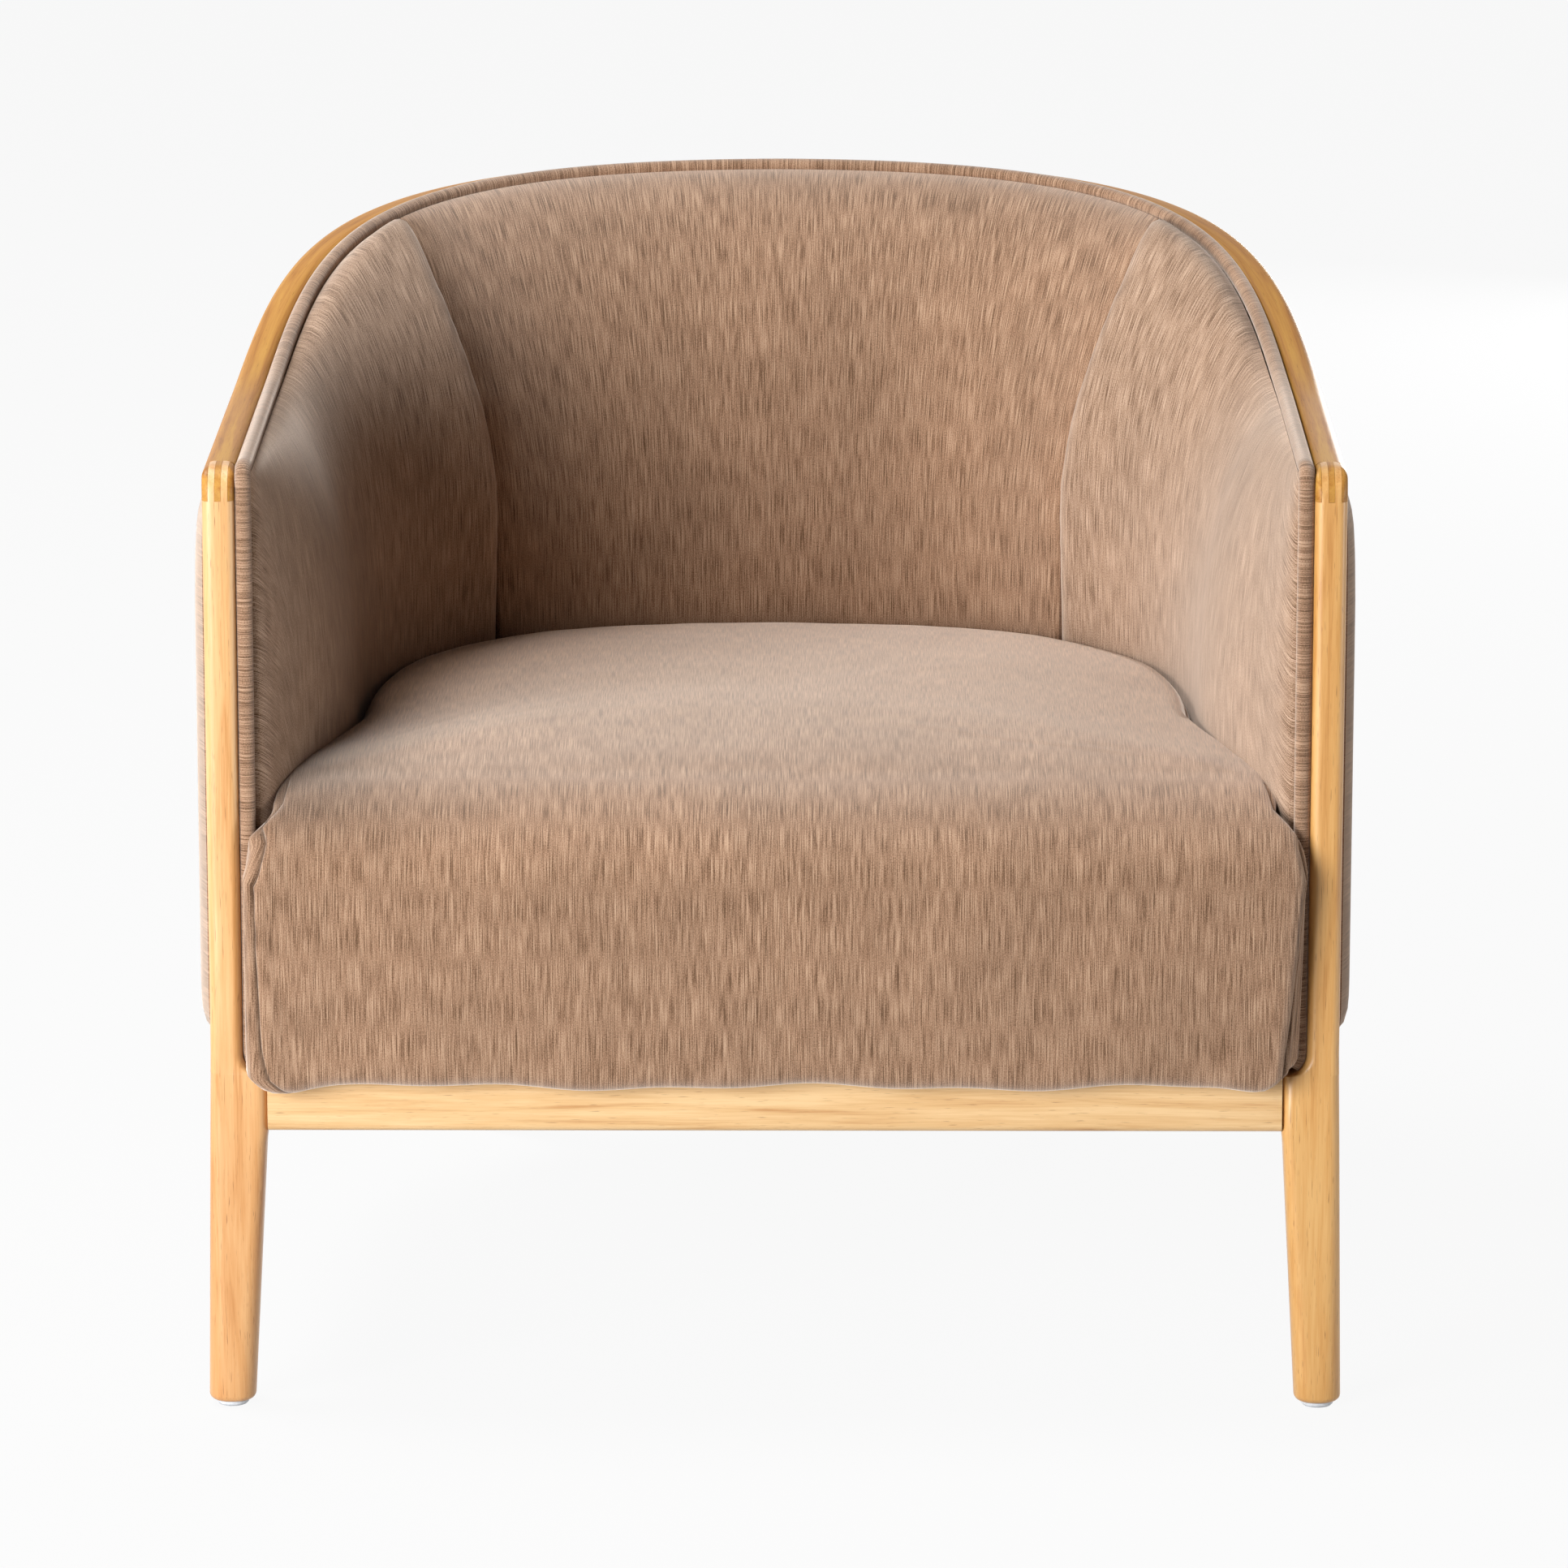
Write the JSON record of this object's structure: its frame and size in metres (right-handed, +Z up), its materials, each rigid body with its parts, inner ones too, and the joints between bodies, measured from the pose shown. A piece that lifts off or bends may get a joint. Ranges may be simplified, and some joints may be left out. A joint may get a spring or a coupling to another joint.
{
  "type": "occasional tub armchair",
  "caption": "Tub armchair with a pale show-wood arm rail that sweeps up into the crest, a padded shell and a loose boxed seat cushion.",
  "frame": {"origin": "centre of the whole chair's outline in plan, on the floor plane under the glides", "axes": "+X to the right seen from the front, the front of the seat faces -Y, +Z up"},
  "size_m": [0.717, 0.6966, 0.6866],
  "materials": {
    "show_wood": "clear satin lacquer over pale close-grained hardwood",
    "carcass_wood": "planed softwood, unfinished",
    "plywood": "bent plywood, unfinished",
    "upholstery": "taupe chenille with a short nap",
    "seat_upholstery": "taupe chenille with a short nap",
    "padded_upholstery": "taupe chenille over a layer of wadding",
    "foam": "cut polyurethane foam, matt",
    "elastic_webbing": "woven elastic, matt",
    "black_cloth": "thin spunbonded cloth, matt",
    "zinc_steel": "zinc plated",
    "glide_nylon": "pale grey nylon with a slight sheen",
    "zip_tape": "woven tape with a coil zip"
  },
  "bodies": {
    "frame": {"front_leg_left": "show_wood", "front_leg_right": "show_wood", "rear_leg_left": "show_wood", "rear_leg_right": "show_wood", "front_rail": "show_wood", "arm_rail_left": "show_wood", "arm_rail_right": "show_wood", "crest_rail": "show_wood", "side_rail_left": "carcass_wood", "side_rail_right": "carcass_wood", "back_rail": "carcass_wood", "cross_rail": "carcass_wood", "corner_blocks": "carcass_wood", "rail_dowels": "carcass_wood", "crest_dowels": "carcass_wood", "webbing_battens": "carcass_wood", "shell_studs": "carcass_wood", "shell_board": "plywood", "back_cover": "upholstery", "arm_cover_left": "upholstery", "arm_cover_right": "upholstery", "welt": "upholstery", "outer_cover": "padded_upholstery", "back_foam": "foam", "arm_foam_left": "foam", "arm_foam_right": "foam", "seat_webbing": "elastic_webbing", "platform_cloth": "black_cloth", "dust_cover": "black_cloth", "block_screws": "zinc_steel", "batten_screws": "zinc_steel", "leg_bolts": "zinc_steel", "glide_front_left": "glide_nylon", "glide_front_right": "glide_nylon", "glide_rear_left": "glide_nylon", "glide_rear_right": "glide_nylon"},
    "cushion": {"cushion_foam": "foam", "cushion_cover": "seat_upholstery", "cushion_zip": "zip_tape"}
  },
  "joints": [
    {"name": "seat_cushion_lift", "type": "slide", "parent": "frame", "child": "cushion", "axis": [0, 0, 1], "range_m": [0, 0.5]}
  ]
}
